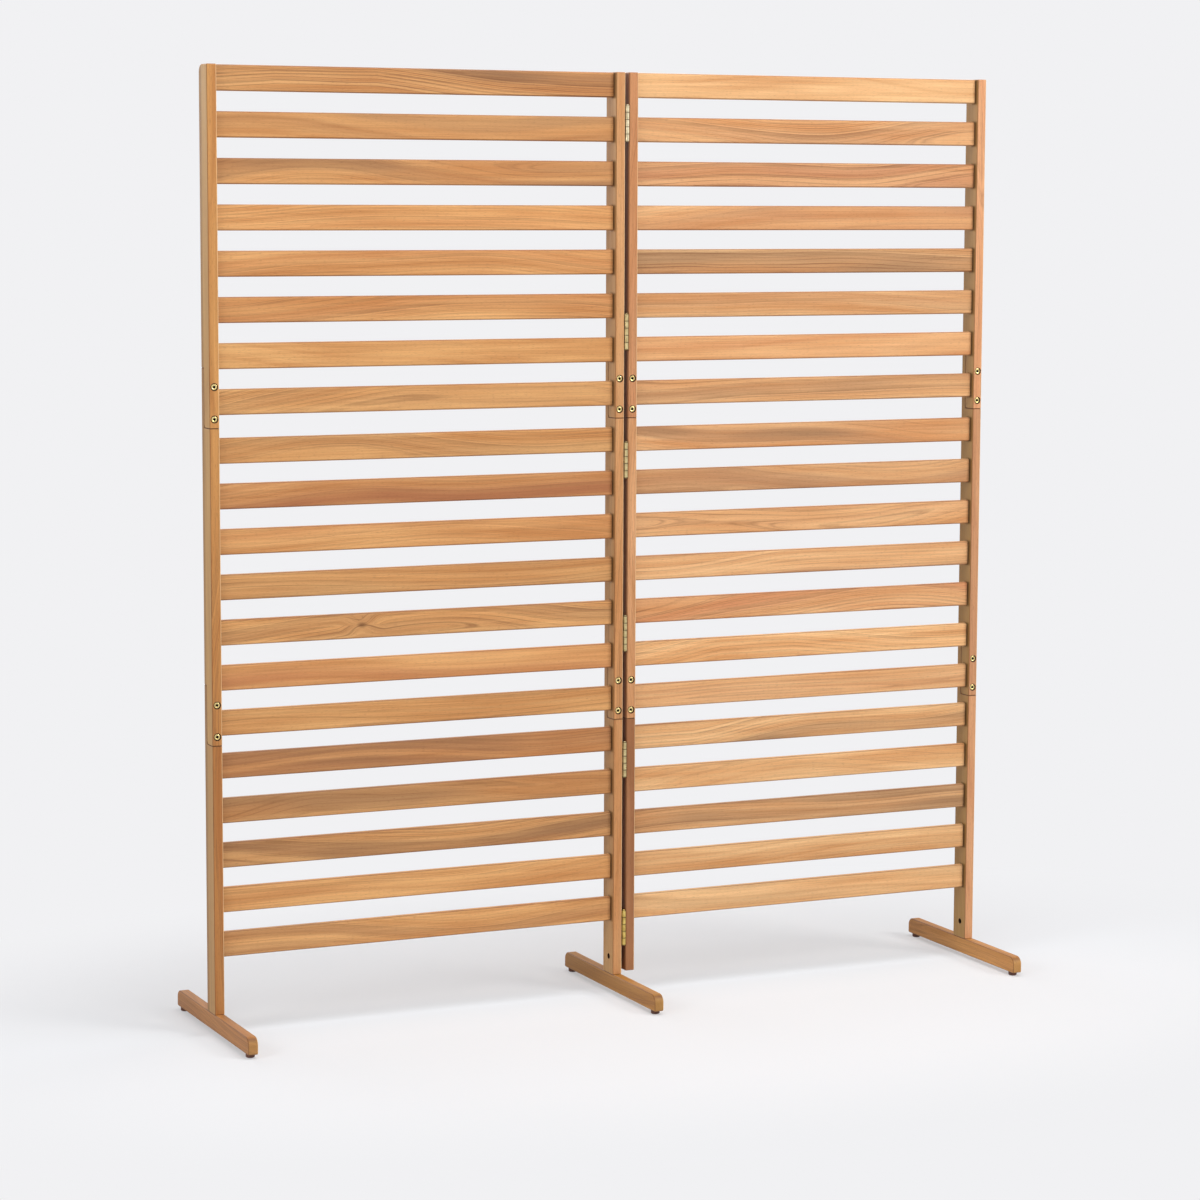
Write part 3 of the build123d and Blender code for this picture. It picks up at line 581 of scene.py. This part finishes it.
# The one large knot: its place along the screen, and its height
KNOT = {("left", "middle"): (-492.0 * MM, 717.0 * MM)}
for seed, (leaf, level) in enumerate(CHOSEN, SLAT_SEED):
    tones = LEFT_SLATS if leaf == "left" else RIGHT_SLATS
    stacks = (leaf + "_outer", leaf + "_inner")
    ends = sorted(POST_MIDDLE[stack] + SLAT_SIDE[stack] * POST_WIDTH / 2 for stack in stacks)
    slats = oiled_slats(
        f"oiled acacia, {leaf} {level} slats",
        seed,
        tones,
        LOWEST_SLAT[level],
        ends,
        CHOSEN[leaf, level],
        KNOT.get((leaf, level)),
    )
    dress(f"{leaf}_{level}_slats", slats)

# Posts: each stack was picked for tone, from golden at the left to pinkish at the right
POST_TONES = {
    "left_outer": {"pale": "#daa05d", "deep": "#b9793e", "red": "#b06c34", "grey": "#976637"},
    "left_inner": {"pale": "#dda974", "deep": "#c0834d", "red": "#c07844", "grey": "#a47545"},
    "right_inner": {"pale": "#dfa878", "deep": "#c08452", "red": "#aa643a", "grey": "#916038"},
    "right_outer": {"pale": "#e9b182", "deep": "#cb8b5e", "red": "#c1764a", "grey": "#a97047"},
}
# Single posts that stand out from their stack, in the same four ways as the slats
POST_PICKS = {
    ("left_outer", "bottom"): (0.35, 0.0, -0.07, 0.1),
    ("left_inner", "middle"): (0.1, 0.0, 0.02, 0.2),
    ("left_inner", "bottom"): (0.0, 0.0, 0.04, 0.1),
    ("right_inner", "top"): (0.1, 0.0, 0.05, 0.1),
    ("right_inner", "bottom"): (0.5, 0.1, -0.12, 0.1),
    ("right_outer", "top"): (0.0, 0.0, 0.07, 0.1),
    ("right_outer", "middle"): (0.3, 0.1, -0.1, 0.2),
}
for stack, (place, tones) in enumerate(POST_TONES.items()):
    for level, part in enumerate(LOWEST_SLAT):
        wood = oiled_post(
            f"oiled acacia, {place} {part} post",
            POST_SEED + 7 * stack + level,
            tones,
            place,
            part,
            POST_PICKS.get((place, part), (0.0, 0.0, 0.0, 0.0)),
        )
        dress(f"{place}_{part}_post", wood)

# Feet: the left one is the brownest, the right one the most golden
FOOT_TONES = {
    "left_outer": {"pale": "#c0854a", "deep": "#87541f", "red": "#8c5628", "grey": "#755026"},
    "left_inner": {"pale": "#dba356", "deep": "#a8722e", "red": "#a67034", "grey": "#906c35"},
    "right_outer": {"pale": "#e2a45c", "deep": "#b27531", "red": "#b07034", "grey": "#986c34"},
}
for seed, (place, tones) in enumerate(FOOT_TONES.items(), FOOT_SEED):
    dress(f"{place}_foot", oiled_rail(f"oiled acacia, {place} foot", seed, tones, place))

# Hinges: the top one is paler and greyer, the lowest one yellower
HINGE_TONES = {1: ("#e2d8b8", "#84744e"), 6: ("#ecd27c", "#8a6a2a")}
HINGE_PLATING = []
for number, middle in enumerate(HINGE_MIDDLES, 1):
    bright, dull = HINGE_TONES.get(number, ("#dfcf9c", "#7d683c"))
    name = f"brass-plated steel, hinge {number}"
    HINGE_PLATING.append(plated_steel(name, bright, dull, 0.26, 0.42, middle))
SCREW_PLATING = plated_steel("brass-plated steel, screws", "#dcc27c", "#a5854a", 0.26, 0.42)
BOLT_PLATING = plated_steel("yellow zinc plate", "#f4de9c", "#a5823c", 0.16, 0.28)
# Barrel nuts are painted near black, as painted shade in their holes, and the drives are painted
# dark, as painted shade in them
BARREL_NUT_PAINTED_SHADE = plated_steel("yellow zinc plate, painted dark as shade in its hole", "#1a1208", "#0c0704", 0.5, 0.65)
DRIVE_PAINTED_SHADE = plated_steel("yellow zinc plate, painted dark as shade in the drives", "#1c1208", "#0c0704", 0.5, 0.7)
GLIDE = moulded_polyethylene("moulded polyethylene")
for node in nodes:
    if node.startswith("hinge_"):
        dress(node, HINGE_PLATING[int(node.split("_")[1]) - 1])
    elif node.endswith("_foot_bolt"):
        dress(node, BOLT_PLATING)
    elif node.endswith("_barrel_nut"):
        dress(node, BARREL_NUT_PAINTED_SHADE)
    elif node.endswith("_glide"):
        dress(node, GLIDE)


# Fasteners: each kind is modelled once on the Z axis, its drive on top, then copied to its places.
# Their sizes are in mm: the drives, and rings of (radius, height) from the seat of the head.
SOCKET_ACROSS = 4.8
CROSS_LENGTH = 4.0
CROSS_WIDTH = 1.0
# Degrees by which each hinge screw stopped further round than the one before
SCREW_SPIN = 37
BOLT_SHANK = [(2.4, -31.7), (3.0, -31.1), (3.0, 0)]
BOLT_HEAD = [(5.5, 0), (5.7, 0.2), (5.7, 1.7), (5.6, 2.1), (5.3, 2.45), (4.9, 2.68), (4.4, 2.8)]
BOLT_DISH = [(3.7, 2.8), (3.3, 2.6), (2.9, 2.5)]
NUT_SLEEVE = [(3.05, -2.0), (3.05, -24.0), (4.0, -24.0), (4.0, 0)]
NUT_FLANGE = [(5.5, 0), (5.7, 0.2), (5.7, 1.6), (5.6, 1.95), (5.3, 2.25), (4.9, 2.43), (4.4, 2.5)]
NUT_DISH = [(3.7, 2.5), (3.3, 2.35), (2.9, 2.3)]
SCREW_SHANK = [(0.15, -12.8), (1.6, -8.8), (1.6, 0)]
SCREW_HEAD = [(3.1, 1.12), (3.15, 1.2), (2.6, 1.2), (2.2, 1.2)]


def six_sided(turn):
    """How far a hexagon socket reaches at one angle."""
    return SOCKET_ACROSS / 2 / math.cos((turn + math.pi / 6) % (math.pi / 3) - math.pi / 6)


def crossed(turn):
    """How far a cross recess reaches at one angle."""
    off = abs((turn + math.pi / 4) % (math.pi / 2) - math.pi / 4)
    return min(CROSS_LENGTH / 2 / math.cos(off), CROSS_WIDTH / 2 / max(math.sin(off), 0.01))


def turned_fastener(name, rings, drive, depth, narrowing):
    """A disc drawn up through rings, whose top is then sunk to its drive.

    depth is how far the drive goes down, and narrowing how much of its width its floor keeps.
    """
    bpy.ops.object.select_all(action="DESELECT")
    bpy.ops.mesh.primitive_circle_add(vertices=48, radius=rings[0][0] * MM, fill_type="NGON")
    model = bpy.context.object
    model.name = name
    bpy.ops.object.mode_set(mode="EDIT")
    bpy.ops.mesh.select_all(action="SELECT")
    bpy.ops.transform.translate(value=(0, 0, rings[0][1] * MM))
    for (radius, height), (next_radius, next_height) in zip(rings, rings[1:]):
        bpy.ops.mesh.extrude_region_move(
            TRANSFORM_OT_translate={"value": (0, 0, (next_height - height) * MM)}
        )
        wider = next_radius / radius
        bpy.ops.transform.resize(value=(wider, wider, 1), center_override=(0, 0, next_height * MM))
    # The innermost ring takes the drive's outline, and goes down into the head
    bpy.ops.mesh.extrude_region_move(TRANSFORM_OT_translate={"value": (0, 0, 0)})
    bpy.ops.object.mode_set(mode="OBJECT")
    for vertex in model.data.vertices:
        if vertex.select:
            turn = math.atan2(vertex.co.y, vertex.co.x)
            reach = drive(turn) * MM / math.hypot(vertex.co.x, vertex.co.y)
            vertex.co.x *= reach
            vertex.co.y *= reach
    bpy.ops.object.mode_set(mode="EDIT")
    bpy.ops.mesh.extrude_region_move(TRANSFORM_OT_translate={"value": (0, 0, -depth * MM)})
    bottom = (rings[-1][1] - depth) * MM
    bpy.ops.transform.resize(value=(narrowing, narrowing, 1), center_override=(0, 0, bottom))
    bpy.ops.mesh.select_all(action="SELECT")
    bpy.ops.mesh.normals_make_consistent(inside=False)
    bpy.ops.object.mode_set(mode="OBJECT")
    bpy.ops.object.shade_smooth_by_angle(angle=math.radians(35))
    # Inside the drive, faces take the second material, its painted shade
    for face in model.data.polygons:
        if bottom - 0.1 * MM < face.center.z < rings[-1][1] * MM - 0.01 * MM:
            face.material_index = int(math.hypot(face.center.x, face.center.y) < rings[-1][0] * MM)
    return model


def fit_fastener(model, name, place, turn, leaf, node, finish):
    """A copy of a fastener with a mesh of its own, set in place on its leaf."""
    piece = bpy.data.objects.new(name, model.data.copy())
    bpy.context.scene.collection.objects.link(piece)
    piece.data.transform(Matrix.Translation(place) @ turn)
    piece.data.materials.append(finish)
    piece.data.materials.append(DRIVE_PAINTED_SHADE)
    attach(piece, leaf + "_panel")
    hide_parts(node)


BOLT_RINGS = BOLT_SHANK + BOLT_HEAD + BOLT_DISH
NUT_RINGS = NUT_SLEEVE + NUT_FLANGE + NUT_DISH
SCREW_RINGS = SCREW_SHANK + SCREW_HEAD
joint_bolt = turned_fastener("joint_bolt", BOLT_RINGS, six_sided, depth=1.9, narrowing=0.96)
cap_nut = turned_fastener("cap_nut", NUT_RINGS, six_sided, depth=1.8, narrowing=0.96)
hinge_screw = turned_fastener("hinge_screw", SCREW_RINGS, crossed, depth=0.9, narrowing=0.45)

TO_FRONT = Matrix.Rotation(math.pi / 2, 4, "X")
TO_BACK = Matrix.Rotation(-math.pi / 2, 4, "X")
LAP_BOLTS = [shoulder + rise for shoulder in SHOULDERS for rise in BOLT_RISES]
for leaf in ("left", "right"):
    number = 0
    for stack in (leaf + "_outer", leaf + "_inner"):
        for height in LAP_BOLTS:
            number += 1
            fit_fastener(
                joint_bolt,
                f"{leaf}_joint_bolt_{number}",
                (POST_MIDDLE[stack], BOLT_SEAT, height),
                TO_FRONT,
                leaf,
                f"{leaf}_joint_bolts",
                BOLT_PLATING,
            )
            fit_fastener(
                cap_nut,
                f"{leaf}_cap_nut_{number}",
                (POST_MIDDLE[stack], CAP_NUT_SEAT, height),
                TO_BACK,
                leaf,
                f"{leaf}_joint_nuts",
                BOLT_PLATING,
            )

for leaf, side in (("left", -1), ("right", 1)):
    into_post = Matrix.Rotation(-side * math.pi / 2, 4, "Y")
    number = 0
    for middle in HINGE_MIDDLES:
        for row in SCREW_ROWS:
            number += 1
            seat = (HINGE_AXIS + side * (PLATE_FACE + SCREW_SINK), SCREW_DEPTH, middle + row)
            spin = Matrix.Rotation(math.radians(SCREW_SPIN * number), 4, "Z")
            fit_fastener(
                hinge_screw,
                f"{leaf}_hinge_screw_{number}",
                seat,
                into_post @ spin,
                leaf,
                f"{leaf}_hinge_screws",
                SCREW_PLATING,
            )
for model in (joint_bolt, cap_nut, hinge_screw):
    bpy.data.objects.remove(model)

# Studio: a pale floor that fades into a plain pale background
BACKGROUND = rgb("#f1f1f3")


def seen_directly(tree):
    """1 for rays from the camera, and for rays that mirror or clear surfaces send on."""
    rays = add(tree, "LightPath").outputs
    seen = {0: rays["Is Camera Ray"], 1: rays["Is Glossy Ray"]}
    seen = add(tree, "Math", seen, operation="MAXIMUM")
    return add(tree, "Math", {0: seen, 1: rays["Is Transmission Ray"]}, operation="MAXIMUM")


bpy.ops.object.select_all(action="DESELECT")
bpy.ops.mesh.primitive_plane_add(size=40.0)
floor = bpy.context.object
floor.name = "studio_floor"
# Matt studio paper: pale and even, without any shine. It shows the screen's shadow softened, and
# fades into the background from 0.9 to 1.7 m off the middle to the sides, and from 0.6 to 1.1 m
# to the front and the back.
paper, tree = start_material("matt studio paper")
oval = {"Vector": add(tree, "TexCoord").outputs["Object"], "Scale": (0.8, 1.25, 1.0)}
oval = add(tree, "Mapping", oval)
away = add(tree, "VectorMath", {0: oval}, operation="LENGTH")
fade = add(tree, "MapRange", {0: away, 1: 0.7, 2: 1.35, 3: 0.4}, interpolation_type="SMOOTHSTEP")
fade = add(tree, "Math", {0: fade, 1: seen_directly(tree)}, operation="MULTIPLY")
lit = add(tree, "BsdfDiffuse", {"Color": rgb("#e2e4e8")})
plain = add(tree, "Emission", {"Color": BACKGROUND})
both = add(tree, "MixShader", {0: fade, 1: lit, 2: plain})
add(tree, "OutputMaterial", {0: both})
floor.data.materials.append(paper)

world = bpy.data.worlds.new("studio light")
bpy.context.scene.world = world
world.use_nodes = True
tree = world.node_tree
tree.nodes.clear()
ambient = add(tree, "Background", {"Color": rgb("#ffffff"), "Strength": 0.28})
shown = add(tree, "Background", {"Color": BACKGROUND, "Strength": 1.0})
both = add(tree, "MixShader", {0: seen_directly(tree), 1: ambient, 2: shown})
add(tree, "OutputWorld", {0: both})


def softbox(name, place, target, width, height, watts, colour="#ffffff"):
    """A large soft lamp aimed at a point."""
    lamp = bpy.data.lights.new(name, "AREA")
    lamp.shape = "RECTANGLE"
    lamp.size, lamp.size_y = width, height
    lamp.energy = watts
    lamp.color = rgb(colour)[:3]
    holder = bpy.data.objects.new(name, lamp)
    holder.location = place
    holder.rotation_euler = (Vector(target) - Vector(place)).to_track_quat("-Z", "Y").to_euler()
    bpy.context.scene.collection.objects.link(holder)


softbox("key softbox", (3.6, -4.2, 3.4), (0.1, 0.0, 0.8), 2.0, 2.0, 158.0, "#fffaf4")
softbox("fill softbox", (-1.2, -5.2, 2.6), (-0.1, 0.0, 0.8), 2.4, 2.4, 10.0)
softbox("left softbox", (-4.6, -1.5, 2.2), (-0.1, 0.0, 0.8), 2.2, 2.2, 72.0)
softbox("top softbox", (0.3, -0.5, 4.1), (0.0, 0.0, 0.0), 2.8, 2.0, 108.0)
softbox("rear softbox", (-1.2, 4.8, 2.8), (0.0, 0.0, 0.8), 3.0, 2.4, 72.0)

# Camera: a long lens that stands to the left, higher than the screen's middle, and tilts down
CAMERA_PLACE = (-2.5889, -5.5773, 1.4736)
CAMERA_TURN = math.radians(24.717)
CAMERA_TILT = math.radians(-6.418)
CAMERA_ROLL = math.radians(0.213)
CAMERA_LENS = 100.81
CAMERA_SHIFT = -0.02

camera_data = bpy.data.cameras.new("camera")
camera_data.lens = CAMERA_LENS
camera_data.sensor_width = 36.0
camera_data.shift_y = CAMERA_SHIFT
camera = bpy.data.objects.new("camera", camera_data)
bpy.context.scene.collection.objects.link(camera)
turn = Matrix.Rotation(-CAMERA_TURN, 4, "Z") @ Matrix.Rotation(math.pi / 2 + CAMERA_TILT, 4, "X")
camera.matrix_world = Matrix.Translation(CAMERA_PLACE) @ turn @ Matrix.Rotation(CAMERA_ROLL, 4, "Z")
bpy.context.scene.camera = camera
bpy.context.scene.view_settings.view_transform = "Standard"
